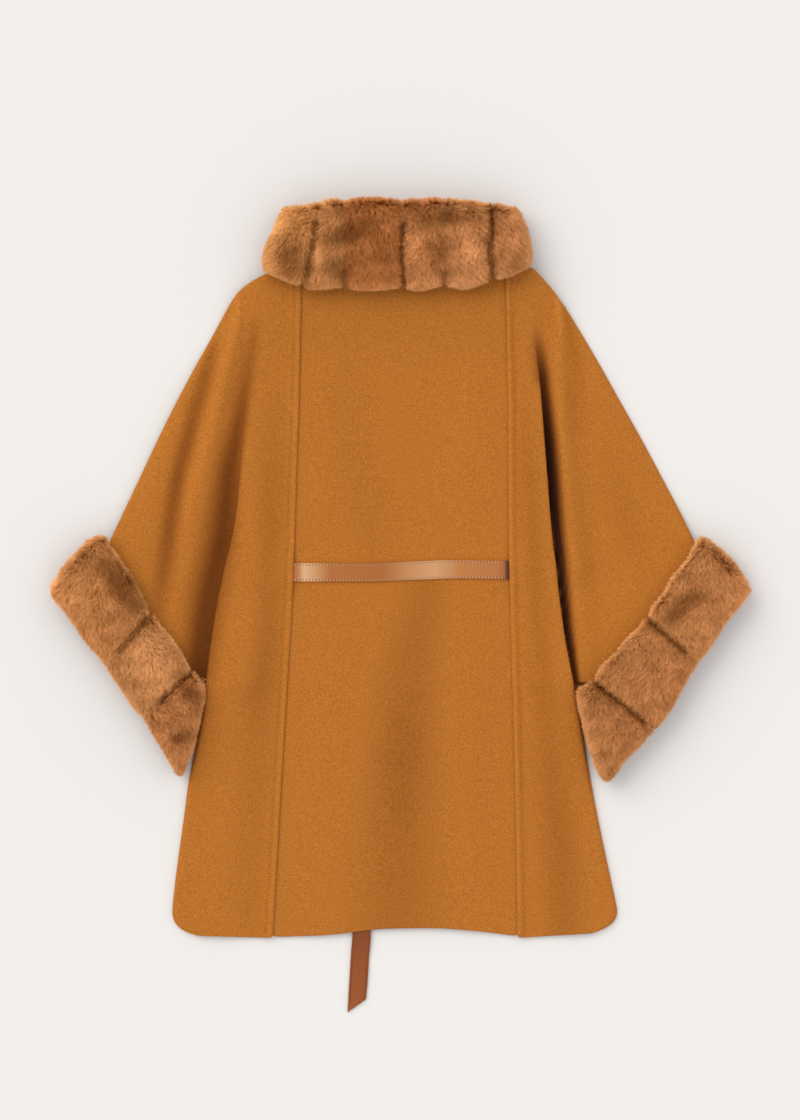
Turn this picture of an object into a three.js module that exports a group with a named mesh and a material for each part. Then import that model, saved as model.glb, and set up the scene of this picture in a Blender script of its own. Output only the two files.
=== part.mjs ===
// A short wool cape with batwing sleeves, a fur collar and fur cuffs, laid flat with its back up.
// Millimetres. X runs across the garment, +X to the right of its back, +Y from hem to collar, +Z up.
// The floor is z = 0. Each panel is one wall of cloth, and each fur pelt is one closed body.
import * as THREE from "three";

// Cloth and seams
const CLOTH = 2; // thickness of the double-faced wool
const SEAM_GAP = 0.3; // room between pieces that are sewn together
const FRONT_MID = CLOTH / 2; // middle of the front layer, which lies on the floor
const BACK_MID = FRONT_MID + CLOTH + SEAM_GAP;
const LAP = 9; // how far the centre back reaches under each side back
const LAP_SLOPE = 6;
const LAP_RISE = CLOTH + SEAM_GAP;
const FOLD_RADIUS = 2.6; // of the cloth's middle where it folds back on itself
const FOLD_BEND = 7; // least length of cloth in one bend
const FOLD_STEPS = 4;
const ROLL_WIDTH = 6; // the back rolls down over the edge of the front
const ROLL_STEPS = 3;
const FRONT_INSET = 5.5; // the front's edge lies inside that roll
const FRONT_HEM_RISE = 6; // the front's hem is this much shorter

// Belt
const STRAP_WIDTH = 24;
const STRAP = 2.4;
const LOOP_HALF = 165; // the closed belt lies flat, this far to each side
const STRAP_LOW = FRONT_MID + CLOTH / 2 + SEAM_GAP + STRAP / 2;
const STRAP_RISE = STRAP + SEAM_GAP;
const WAIST_MID = BACK_MID + STRAP_RISE; // centre back where it lies on the belt's front run
const STRAP_HIGH = WAIST_MID + CLOTH / 2 + SEAM_GAP + STRAP / 2;
const WAIST = { low: 30, high: 66, fade: 18 };
const OVER_TAIL = { to: 92, faded: 128 }; // below the waist the centre lies on the belt's end, to this side
const SLIT_HUMP = { to: 6, faded: 40 }; // past the belt's turns the side backs come down again

// Fur rings: the heights of the pelts below and above the cloth
const NECK = { under: 10, opening: 7, over: 34, clear: SEAM_GAP + LAP_RISE };
const CUFF = { under: 8, opening: 6, over: 25, clear: SEAM_GAP };
const NECK_SLOPE = { from: 345, to: 405, sideFrom: 170, sideTo: 240 };
const CUFF_SLOPE = 60;
const BACK_EARLIER = 28; // the back starts to rise this much before the front
const NECK_SIDE_DROP = 0.8; // share of the neck's rise that is lost towards the shoulders
const NECK_SEAM = 409.5; // under the collar's edge: above it the centre back is a strip of its own
const MOUTH_FADE = 40; // past the end of a cuff its height fades out over this length

const WOOL = { color: "#b8702e", roughness: 0.95, metalness: 0 };
const FUR = { color: "#a9744b", roughness: 1, metalness: 0 };
const LEATHER = { color: "#bd7d4c", roughness: 0.5, metalness: 0 };

// Rows of numbers under named columns. A column that a row leaves off at its end is 0.
function table(columns, rows) {
  return rows.map((row) => Object.fromEntries(columns.map((name, i) => [name, row[i] ?? 0])));
}

// Side backs, from the neck to the sleeve's underarm. inY and outY: where the section runs, at the seam
// and at the outer edge. seam, edge, outer: distance from the centre line of the seam, of the body's
// folded edge and of the outer edge. turn: how far the cloth folds under there, in degrees.
// tuck: depth of the folded-under layer. open: 1 where the outer edge is the sleeve's open mouth, and 0
// where it rolls down over the front.
const SLEEVE_COLUMNS = ["inY", "outY", "seam", "edge", "outer", "turn", "tuck", "open"];
const SLEEVE_SECTIONS = {
  left: table(SLEEVE_COLUMNS, [
    [452, 432, 126, 155, 175, 4, 1],
    [428, 415, 127, 172, 207, 4, 1],
    [400, 396, 127, 181, 220, 5, 2],
    [374, 374, 128, 187, 232, 8, 2],
    [348, 348, 129, 190, 246, 14, 2],
    [322, 322, 129, 193, 261, 20, 3],
    [296, 296, 130, 196, 275, 28, 3],
    [270, 270, 130, 199, 289, 38, 3],
    [218, 218, 132, 204, 315, 60, 4],
    [166, 166, 134, 208, 339, 100, 3],
    [114, 114, 135, 213, 364, 150, 7],
    [81, 81, 136, 220, 379, 168, 16],
    [66, 66, 137, 224, 386, 174, 24, 0.6],
    [50, 50, 138, 228, 389, 176, 28, 1],
    [30, 30, 138, 232, 376, 178, 32, 1],
    [12, 12, 139, 237, 364, 180, 36, 1],
    [-16, -16, 140, 241, 346, 180, 40, 1],
    [-45, -45, 142, 246, 327, 180, 40, 1],
    [-72, -72, 144, 249, 309, 180, 38, 1],
    [-101, -101, 145.5, 252, 290, 180, 36, 1],
  ]),
  right: table(SLEEVE_COLUMNS, [
    [452, 440, 133, 157, 173, 4, 1],
    [432, 424, 136, 164, 189, 4, 1],
    [400, 398, 137, 170, 210, 5, 2],
    [374, 374, 138, 174, 225, 12, 2],
    [348, 348, 138, 177, 241, 30, 4],
    [322, 322, 139, 180, 256, 62, 4],
    [296, 296, 139, 182, 271, 92, 3],
    [270, 270, 140, 184, 285, 118, 4],
    [218, 218, 140, 188, 315, 150, 7],
    [166, 166, 140, 192, 342, 165, 14],
    [114, 114, 141, 196, 370, 172, 20],
    [76, 76, 141, 200, 387, 176, 21],
    [66, 66, 141, 202, 393, 177, 21, 0.6],
    [50, 50, 142, 204, 401, 178, 22, 1],
    [30, 30, 142, 206, 386, 180, 24, 1],
    [12, 12, 143, 208, 371, 180, 26, 1],
    [-14, -14, 143, 211, 349, 180, 28, 1],
    [-42, -42, 144, 215, 326, 180, 30, 1],
    [-68, -68, 145, 220, 304, 180, 32, 1],
    [-99, -99, 145.5, 226, 278.5, 180, 32, 1],
  ]),
};

// The rest of the side backs, down to the hem. rise: height of the side edge above the front.
const BODY_COLUMNS = ["inY", "outY", "seam", "outer", "rise"];
const BODY_SECTIONS = {
  left: table(BODY_COLUMNS, [
    [-110, -110, 146, 254, 19],
    [-140, -140, 148, 258, 14],
    [-172, -172, 150, 264, 9.5],
    [-224, -224, 153, 275, 5],
    [-276, -276, 156, 281, 4],
    [-330, -330, 159, 289, 4.6],
    [-387, -387, 162, 296, 3.6],
    [-406, -404, 163, 296.5, 3],
    [-420, -418, 164, 288, 3],
    [-430, -427, 165, 262, 3],
  ]),
  right: table(BODY_COLUMNS, [
    [-107, -107, 146, 229, 19],
    [-140, -140, 147, 235, 14],
    [-180, -180, 148, 241, 9.5],
    [-224, -224, 149, 248, 5],
    [-270, -270, 150, 257, 4],
    [-315, -315, 151, 266, 4.6],
    [-387, -387, 152, 282, 3.6],
    [-401, -399, 152, 284, 3],
    [-418, -413, 152, 277, 3],
    [-430, -424, 152, 249, 3],
  ]),
};

// Where the centre back's hem runs. Its other rows are those of the left side back.
const CENTRE_HEM = table(["x", "y"], [
  [-175, -430],
  [-91, -427],
  [-26, -418],
  [52, -417],
  [117, -423],
  [162, -430],
]);

// Soft ridges in the back: from and to are points on the crest, width is to where it has faded.
const FOLDS = table(["fromX", "fromY", "toX", "toY", "width", "height"], [
  [-206, 390, -288, 40, 22, 10],
  [-252, 360, -345, 80, 30, 6],
  [-262, 40, -300, -60, 20, 5],
  [198, 372, 236, -60, 17, 13],
  [232, 350, 330, 60, 42, 6],
  [-100, 380, -92, 80, 40, 3],
  [96, 390, 90, 80, 44, 3],
  [-104, 20, -110, -440, 42, 3],
  [86, 20, 92, -440, 50, 3],
  [-212, -150, -232, -440, 34, 3.5],
  [196, -120, 226, -440, 34, 3.5],
]);

// Each fur ring is cut by lines across it, given by the end at the garment and the far end.
const LINE_COLUMNS = ["inX", "inY", "farX", "farY"];
const COLLAR_LINES = table(LINE_COLUMNS, [
  [-183, 441, -151, 513],
  [-124, 413, -98, 525],
  [-72, 413, -72, 527],
  [3, 413, 3, 527],
  [56, 414, 56, 527],
  [117, 420, 115, 524],
  [177, 447, 152, 511],
]);
const LEFT_CUFF_LINES = table(LINE_COLUMNS, [
  [-388, 103, -456, 25],
  [-320, -6, -380, -76],
  [-269, -80, -334, -141],
  [-256, -101, -278, -226],
]);
const RIGHT_CUFF_LINES = table(LINE_COLUMNS, [
  [396, 97, 456, 28],
  [320, -12, 385, -70],
  [250, -92, 332, -157],
  [231, -106, 258, -232],
]);

// The belt's middle line across the waist, and down inside the back to the end that hangs out.
const BELT_LINE = table(["x", "y"], [
  [-LOOP_HALF, 45],
  [-138, 45.5],
  [-39, 45],
  [62, 49.5],
  [140, 48.5],
  [LOOP_HALF, 48],
]);
const TAIL_LINE = table(["y", "x", "z"], [
  [32.4, -22, STRAP_LOW],
  [-60, -25, STRAP_LOW],
  [-160, -31, STRAP_LOW],
  [-260, -39, STRAP_LOW],
  [-350, -45, STRAP_LOW],
  [-412, -49, STRAP_LOW],
  [-432, -50, STRAP_LOW - 0.4],
  [-456, -52, STRAP / 2],
  [-490, -54, STRAP / 2],
  [-518, -56, STRAP / 2],
]);
const TAIL_SLANT = 17; // the end is cut at a slant

// 0 before a, 1 after b, smooth between.
function smooth(a, b, value) {
  return THREE.MathUtils.smoothstep(value, a, b);
}

// Height of a named column where another one has the given value, on straight lines between rows.
function along(rows, key, value, column) {
  const rising = rows[rows.length - 1][key] > rows[0][key];
  const after = rows.findIndex((row) => (rising ? row[key] >= value : row[key] <= value));
  if (after === 0) return rows[0][column];
  if (after < 0) return rows[rows.length - 1][column];
  const a = rows[after - 1];
  const b = rows[after];
  return THREE.MathUtils.mapLinear(value, a[key], b[key], a[column], b[column]);
}

// The cuffs' edges at the garment, from the sleeve's outer end to the body. side is 1 where the garment
// lies to the left of that way.
const MOUTHS = [
  { from: [-383, 81], to: [-262, -105], side: 1 },
  { from: [394, 71], to: [240, -113], side: -1 },
];

// How near a place is to a cuff or to the collar, where their lower pelts and openings hold the cloth up:
// 1 at the fur, falling to 0 at the foot of the slope.
function nearMouth(x, y, earlier = 0) {
  const mouth = MOUTHS[x < 0 ? 0 : 1];
  const from = new THREE.Vector2(...mouth.from);
  const across = new THREE.Vector2(...mouth.to).sub(from);
  const width = across.length();
  across.normalize();
  const away = new THREE.Vector2(x, y).sub(from);
  const beyond = 1 - smooth(width, width + MOUTH_FADE, away.dot(across));
  return beyond * (1 - smooth(0, CUFF_SLOPE + earlier, mouth.side * across.cross(away)));
}

function nearNeck(x, y, earlier = 0) {
  const rise = smooth(NECK_SLOPE.from - earlier, NECK_SLOPE.to, y);
  return rise * (1 - NECK_SIDE_DROP * smooth(NECK_SLOPE.sideFrom, NECK_SLOPE.sideTo, Math.abs(x)));
}

function frontHeight(x, y) {
  const neck = NECK.under + SEAM_GAP;
  const cuff = CUFF.under + SEAM_GAP;
  return FRONT_MID + Math.max(neck * nearNeck(x, y), cuff * nearMouth(x, y));
}

function backHeight(x, y) {
  const neck = (NECK.under + NECK.opening) * nearNeck(x, y, BACK_EARLIER);
  const cuff = (CUFF.under + CUFF.opening) * nearMouth(x, y, BACK_EARLIER);
  return BACK_MID + Math.max(neck, cuff);
}

function ridges(x, y) {
  const point = new THREE.Vector3(x, y, 0);
  return FOLDS.reduce((sum, fold) => {
    const line = new THREE.Line3(
      new THREE.Vector3(fold.fromX, fold.fromY, 0),
      new THREE.Vector3(fold.toX, fold.toY, 0),
    );
    const t = line.closestPointToPointParameter(point, false);
    const away = line.at(t, new THREE.Vector3()).distanceTo(point);
    const ends = smooth(-0.05, 0.3, t) * (1 - smooth(0.7, 1.05, t));
    return sum + fold.height * ends * (1 - smooth(0, fold.width, away));
  }, 0);
}

// The belt under and through the back lifts it: a low step along the centre, a hump at each slit.
function beltBand(y, room = 0) {
  const { low, high, fade } = WAIST;
  return smooth(low - fade - room, low - room, y) * (1 - smooth(high + room, high + fade + room, y));
}

function centreLift(x, y) {
  const side = Math.abs(x);
  const belowWaist = 1 - smooth(WAIST.high, WAIST.high + WAIST.fade, y);
  const overTail = (1 - smooth(OVER_TAIL.to, OVER_TAIL.faded, side)) * belowWaist;
  return STRAP_RISE * Math.max(overTail, beltBand(y));
}

function slitLift(side, y) {
  const reach = 1 - smooth(LOOP_HALF + SLIT_HUMP.to, LOOP_HALF + SLIT_HUMP.faded, side);
  return (2 * STRAP_RISE + CLOTH + SEAM_GAP) * reach * beltBand(y);
}

// A wall of cloth from a grid of points on its middle. Places left null are not part of it.
function wall(grid, thickness) {
  const rows = grid.length;
  const columns = Math.max(...grid.map((row) => row.length));
  const point = (r, c) => (grid[r] && grid[r][c]) || null;
  const number = (r, c) => r * columns + c;
  const quads = [];
  for (let r = 0; r < rows - 1; r++) {
    for (let c = 0; c < columns - 1; c++) {
      const corners = [[r, c], [r + 1, c], [r + 1, c + 1], [r, c + 1]];
      if (corners.every(([i, j]) => point(i, j))) quads.push(corners);
    }
  }
  const normals = new Map();
  quads.forEach((corners) => {
    const [a, b, c, d] = corners.map(([i, j]) => point(i, j));
    const face = new THREE.Vector3().crossVectors(
      new THREE.Vector3().subVectors(c, a),
      new THREE.Vector3().subVectors(d, b),
    );
    face.normalize();
    corners.forEach(([i, j]) => {
      const key = number(i, j);
      if (!normals.has(key)) normals.set(key, new THREE.Vector3());
      normals.get(key).add(face);
    });
  });
  const positions = [];
  const place = new Map();
  normals.forEach((normal, key) => {
    const p = point(Math.floor(key / columns), key % columns);
    const half = normal.clone().normalize().multiplyScalar(thickness / 2);
    place.set(key, positions.length / 3);
    positions.push(p.x + half.x, p.y + half.y, p.z + half.z);
    positions.push(p.x - half.x, p.y - half.y, p.z - half.z);
  });
  const top = ([i, j]) => place.get(number(i, j));
  const bottom = (corner) => top(corner) + 1;
  const faces = [];
  const quad = (a, b, c, d) => faces.push(a, b, c, a, c, d);
  const edges = new Map();
  quads.forEach((corners) => {
    quad(...corners.map(top));
    quad(...corners.map(bottom).reverse());
    corners.forEach((corner, i) => {
      const next = corners[(i + 1) % 4];
      const back = number(...next) + ">" + number(...corner);
      if (edges.has(back)) edges.delete(back);
      else edges.set(number(...corner) + ">" + number(...next), [corner, next]);
    });
  });
  edges.forEach(([a, b]) => quad(top(b), top(a), bottom(a), bottom(b)));
  const geometry = new THREE.BufferGeometry();
  geometry.setAttribute("position", new THREE.Float32BufferAttribute(positions, 3));
  geometry.setIndex(faces);
  return geometry;
}

// The points where cloth at a height rolls down over the edge of the front, ending at that edge. At an
// open mouth it stays up.
function roll(outer, height, frontEdge, steps, open = 0) {
  const drop = (height - (frontEdge - CLOTH / 4)) * (1 - open);
  const width = open ? ROLL_WIDTH : Math.min(drop, ROLL_WIDTH);
  const start = outer - CLOTH / 2 - width;
  return Array.from({ length: steps + 1 }, (_, i) => {
    const angle = ((Math.PI / 2) * i) / steps;
    return { side: start + width * Math.sin(angle), z: height - drop * (1 - Math.cos(angle)) };
  });
}

// The two bends and the layer between them, where the body's edge folds back over the sleeve.
function foldedEdge(edge, turn, tuck, foot) {
  const angle = THREE.MathUtils.degToRad(turn);
  const r = Math.max(FOLD_RADIUS, FOLD_BEND / angle);
  const drop = 2 * r * (1 - Math.cos(angle)) + tuck * Math.sin(angle);
  const start = { side: edge - Math.min(r, FOLD_BEND) - CLOTH / 2, z: foot + drop };
  const points = [];
  for (let i = 0; i <= FOLD_STEPS; i++) {
    const a = (angle * i) / FOLD_STEPS;
    points.push({ side: start.side + r * Math.sin(a), z: start.z - r * (1 - Math.cos(a)) });
  }
  const first = points[points.length - 1];
  const inner = { side: first.side + tuck * Math.cos(angle), z: first.z - tuck * Math.sin(angle) };
  for (let i = 0; i <= FOLD_STEPS; i++) {
    const a = (-angle * (FOLD_STEPS - i)) / FOLD_STEPS;
    points.push({
      side: inner.side + r * (Math.sin(a) + Math.sin(angle)),
      z: inner.z + r * (Math.cos(angle) - Math.cos(a)),
    });
  }
  return points;
}

const BODY_STEPS = 6;
const TOP_MARGIN = 8; // room between the folded-under layer and the slope of the layer over it
const TUCK_REST = 30; // below the sleeve the side edge keeps its height for at most this far in
const SLEEVE_STEPS = 9;

// The flat stretch of a side back from its seam to where its edge turns down. It has climbed to the
// height of that edge by the place given as top, where a folded-under layer begins.
function bodyStretch(section, sign, start, top, edgeHeight) {
  const { seam, inY } = section;
  const sides = [seam, seam + LAP, seam + LAP + LAP_SLOPE];
  for (let i = 1; i <= BODY_STEPS; i++) {
    sides.push(THREE.MathUtils.lerp(seam + LAP + LAP_SLOPE, start, i / (BODY_STEPS + 1)));
  }
  return sides.map((side, i) => {
    const rest = backHeight(sign * side, inY);
    const lifted = (edgeHeight - rest) * smooth(seam + LAP, top, side);
    const lap = i < 2 ? LAP_RISE : 0;
    const soft = ridges(sign * side, inY) * smooth(seam, seam + LAP * 3, side) * (1 - beltBand(inY));
    return { side, z: rest + soft + Math.max(lifted, lap, slitLift(side, inY)) };
  });
}

// One side back with the back of its sleeve, cut in one.
function sideBack(hand) {
  const sign = hand === "left" ? -1 : 1;
  const toPoints = (section, row) =>
    row.map(({ side, z }) => {
      const t = (side - section.seam) / (section.outer - section.seam);
      const y = THREE.MathUtils.lerp(section.inY, section.outY, THREE.MathUtils.clamp(t, 0, 1));
      return new THREE.Vector3(sign * side, y, z);
    });
  const withSleeve = SLEEVE_SECTIONS[hand].map((section) => {
    const { inY, outY, edge, outer, turn, tuck, open } = section;
    const foot = backHeight(sign * edge, inY);
    const fold = foldedEdge(edge, turn, tuck, foot);
    const inner = fold[fold.length - 1].side;
    const height = (side) => {
      const shown = smooth(edge - 4, edge + 14, side);
      const rest = backHeight(sign * Math.max(side, edge), outY);
      return rest + ridges(sign * side, outY) * shown * (1 - nearMouth(sign * side, outY));
    };
    const frontEdge = frontHeight(sign * outer, outY);
    const sleeveEnd = roll(outer, height(outer - ROLL_WIDTH), frontEdge, ROLL_STEPS, open);
    const sleeve = [];
    for (let i = 1; i < SLEEVE_STEPS; i++) {
      const side = THREE.MathUtils.lerp(inner, sleeveEnd[0].side, i / SLEEVE_STEPS);
      sleeve.push({ side, z: height(side) });
    }
    const top = Math.min(inner - FOLD_RADIUS - TOP_MARGIN, fold[0].side);
    const body = bodyStretch(section, sign, fold[0].side, top, fold[0].z);
    return toPoints(section, [...body, ...fold, ...sleeve, ...sleeveEnd]);
  });
  const below = BODY_SECTIONS[hand].map((section) => {
    const { outer, outY, rise } = section;
    const edgeHeight = BACK_MID + rise;
    const end = roll(outer, edgeHeight, frontHeight(sign * outer, outY), FOLD_STEPS);
    const top = end[0].side - Math.min(TUCK_REST, rise * 2);
    return toPoints(section, [...bodyStretch(section, sign, end[0].side, top, edgeHeight), ...end]);
  });
  const grid = [...withSleeve, ...below];
  return wall(hand === "left" ? grid.map((row) => flipRow(row, grid[0].length)) : grid, CLOTH);
}

// A row turned end for end, padded so that short rows keep their places.
function flipRow(row, length) {
  return [...Array(length - row.length).fill(null), ...row.slice().reverse()];
}

const CENTRE_STEPS = 14;

// The centre back in two pieces, from the hem to the neck seam and the strip above it.
function centreBack() {
  const left = [...SLEEVE_SECTIONS.left, ...BODY_SECTIONS.left];
  const right = [...SLEEVE_SECTIONS.right, ...BODY_SECTIONS.right];
  const rows = left.map((section) => section.inY).filter((y) => y > -400);
  const places = [...rows, -402, null];
  const grid = places.map((rowY) => {
    const y = rowY === null ? -430 : rowY;
    const from = -along(left, "inY", y, "seam") - LAP;
    const to = along(right, "inY", y, "seam") + LAP;
    return Array.from({ length: CENTRE_STEPS + 1 }, (_, i) => {
      const x = THREE.MathUtils.lerp(from, to, i / CENTRE_STEPS);
      const atY = rowY === null ? along(CENTRE_HEM, "x", x, "y") : y;
      const edge = Math.min(x - from, to - x);
      const soft = ridges(x, atY) * smooth(LAP, LAP * 4, edge) * (1 - beltBand(atY));
      return new THREE.Vector3(x, atY, backHeight(x, atY) + centreLift(x, atY) + soft);
    });
  });
  const isStrip = (row) => row[0].y > NECK_SEAM;
  const strip = [...grid.filter(isStrip), rowAcross(grid, NECK_SEAM + SEAM_GAP / 2)];
  const panel = [rowAcross(grid, NECK_SEAM - SEAM_GAP / 2), ...grid.filter((row) => !isStrip(row))];
  return { strip: wall(strip, CLOTH), panel: wall(panel, CLOTH) };
}

// The row that a grid has at y, on straight lines between its rows.
function rowAcross(grid, y) {
  const after = grid.findIndex((row) => row[0].y < y);
  return grid[after - 1].map((p, i) => p.clone().lerp(grid[after][i], (p.y - y) / (p.y - grid[after][i].y)));
}

const FRONT_STEPS = 8;
const HEM_BEND = 45; // the fronts follow the centre back's hem over this height

// A front with the front of its sleeve. It lies flat on the floor under the back.
function front(hand) {
  const sign = hand === "left" ? -1 : 1;
  const rows = [
    ...SLEEVE_SECTIONS[hand],
    ...BODY_SECTIONS[hand],
  ];
  const last = rows.length - 1;
  const grid = rows.map((section, r) => {
    const rise = r === last ? FRONT_HEM_RISE : 0;
    const steps = Array.from({ length: FRONT_STEPS + 1 }, (_, i) => i / FRONT_STEPS);
    return steps.map((t) => {
      const side = THREE.MathUtils.lerp(SEAM_GAP / 2, section.outer - FRONT_INSET, t);
      const cut = THREE.MathUtils.lerp(section.inY, section.outY, t);
      const higher = along(CENTRE_HEM, "x", sign * side, "y") - CENTRE_HEM[0].y;
      const y = cut + rise + higher * (1 - smooth(CENTRE_HEM[0].y, CENTRE_HEM[0].y + HEM_BEND, cut));
      return new THREE.Vector3(sign * side, y, frontHeight(sign * side, y));
    });
  });
  return wall(sign < 0 ? grid.map((row) => row.slice().reverse()) : grid, CLOTH);
}

// The belt, a flat strap: a row of points along its middle, with its width and thickness directions.
function strap(stations) {
  const ring = stations.map(({ middle, width, normal }) => {
    const across = width.clone().multiplyScalar(STRAP_WIDTH / 2);
    const thick = normal.clone().multiplyScalar(STRAP / 2);
    return [
      middle.clone().add(across).add(thick),
      middle.clone().sub(across).add(thick),
      middle.clone().sub(across).sub(thick),
      middle.clone().add(across).sub(thick),
    ];
  });
  return loft(ring);
}

// A closed body through rings of points that all have the same count.
function loft(rings) {
  const count = rings[0].length;
  const positions = rings.flat().flatMap((p) => [p.x, p.y, p.z]);
  const faces = [];
  for (let r = 0; r < rings.length - 1; r++) {
    for (let i = 0; i < count; i++) {
      const a = r * count + i;
      const b = r * count + ((i + 1) % count);
      faces.push(a, b, b + count, a, b + count, a + count);
    }
  }
  const lastRing = (rings.length - 1) * count;
  [0, lastRing].forEach((start) => {
    for (let i = 1; i < count - 1; i++) {
      const fan = [start, start + i, start + i + 1];
      faces.push(...(start === 0 ? fan.reverse() : fan));
    }
  });
  const geometry = new THREE.BufferGeometry();
  geometry.setAttribute("position", new THREE.Float32BufferAttribute(positions, 3));
  geometry.setIndex(faces);
  return geometry;
}

const BELT_TURN_STEPS = 6;

function beltStation(x, z, angle) {
  const middle = new THREE.Vector3(x, along(BELT_LINE, "x", x, "y"), z);
  const normal = new THREE.Vector3(Math.sin(angle), 0, Math.cos(angle));
  return { middle, width: new THREE.Vector3(0, 1, 0), normal };
}

// The run over the centre back, with the turn at each end that goes in through the slit.
function beltBack() {
  const r = (STRAP_HIGH - STRAP_LOW) / 2;
  const centre = STRAP_LOW + r;
  const turn = LOOP_HALF - r - STRAP / 2;
  const places = BELT_LINE.slice(1, -1).map((row) => row.x);
  const stations = [];
  for (let i = 0; i <= BELT_TURN_STEPS; i++) {
    const angle = -Math.PI * (1 - i / BELT_TURN_STEPS);
    stations.push(beltStation(-turn + r * Math.sin(angle), centre + r * Math.cos(angle), angle));
  }
  [...places, 0].sort((a, b) => a - b).forEach((x) => stations.push(beltStation(x, STRAP_HIGH, 0)));
  for (let i = 0; i <= BELT_TURN_STEPS; i++) {
    const angle = (Math.PI * i) / BELT_TURN_STEPS;
    stations.push(beltStation(turn + r * Math.sin(angle), centre + r * Math.cos(angle), angle));
  }
  return strap(stations);
}

// The hidden run that closes the belt under the centre back.
function beltFront() {
  const r = (STRAP_HIGH - STRAP_LOW) / 2;
  const end = LOOP_HALF - r - STRAP / 2 - SEAM_GAP;
  const places = [-end, ...BELT_LINE.slice(1, -1).map((row) => row.x), end];
  return strap(places.map((x) => beltStation(x, STRAP_LOW, 0)));
}

function beltTail() {
  const stations = TAIL_LINE.map((row, i) => {
    const slant = i === TAIL_LINE.length - 1 ? TAIL_SLANT : 0;
    const top = new THREE.Vector3(0, 0, 1);
    return {
      middle: new THREE.Vector3(row.x, row.y, row.z),
      width: new THREE.Vector3(1, slant / STRAP_WIDTH, 0),
      normal: top,
    };
  });
  return strap(stations);
}

const RING_BULGE = 0.8; // the ring's ends are this much of a half circle

// A fur ring flattened round a mouth: its path is over, round the far end, under, and back round.
// Turns 0 to 1 are over, 1 to 2 the far end, 2 to 3 under, and 3 to 4 the near end.
function furRing(lines, heights) {
  const under = { z: heights.under / 2, thick: heights.under };
  const cloth = 2 * CLOTH + SEAM_GAP + heights.opening + heights.clear;
  const over = { z: heights.under + cloth + heights.over / 2, thick: heights.over };
  const end = (over.z - under.z) / 2;
  const middles = lines.map((line) => new THREE.Vector2(line.inX + line.farX, line.inY + line.farY));
  middles.forEach((middle) => middle.divideScalar(2));
  const marks = middles.map((_, i) =>
    middles.slice(1, i + 1).reduce((sum, point, j) => sum + point.distanceTo(middles[j]), 0),
  );
  const rows = lines.map((line, i) => ({ mark: marks[i], ...line }));
  const length = marks[marks.length - 1];
  const bulge = end * RING_BULGE;
  const inset = bulge + (over.thick + under.thick) / 4;
  const place = (turn) => {
    const w = ((turn % 4) + 4) % 4;
    const part = Math.floor(w);
    const t = w - part;
    const straight = length - 2 * inset;
    if (part === 0) return { mark: inset + straight * t, z: over.z, thick: over.thick, tilt: 0 };
    if (part === 2) {
      return { mark: length - inset - straight * t, z: under.z, thick: under.thick, tilt: Math.PI };
    }
    const angle = Math.PI * t;
    const far = part === 1;
    const blend = smooth(0, 1, far ? t : 1 - t);
    const reach = bulge * Math.sin(angle);
    return {
      mark: far ? length - inset + reach : inset - reach,
      z: (over.z + under.z) / 2 + (far ? 1 : -1) * end * Math.cos(angle),
      thick: THREE.MathUtils.lerp(over.thick, under.thick, blend),
      tilt: far ? angle : Math.PI + angle,
    };
  };
  const lineAt = (mark) => {
    const value = (column) => along(rows, "mark", THREE.MathUtils.clamp(mark, 0, length), column);
    const near = new THREE.Vector2(value("inX"), value("inY"));
    return { near, far: new THREE.Vector2(value("farX"), value("farY")) };
  };
  const turnOf = (index) => (marks[index] - inset) / (length - 2 * inset);
  return { place, lineAt, turnOf };
}

const PELT_SIDES = 12;
const PELT_LOWER_INSET = 17; // below the cloth the ring starts this much further from the garment
const PELT_PINCH = 16; // the fur draws in over this distance from each seam
const PELT_SQUARE = 0.78; // below 1 the section is fuller than an ellipse
const PELT_SUNK = 0.3; // share of its height that a pelt loses at a seam
const PELT_NARROWER = 0.05; // and of its width
const PELT_TRIM = SEAM_GAP * 0.6; // each end stops a little over half a gap before the seam
const PELT_UNDER = { from: 0.6, to: 0.9 }; // how far round the ring's end the lower inset builds up

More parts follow.
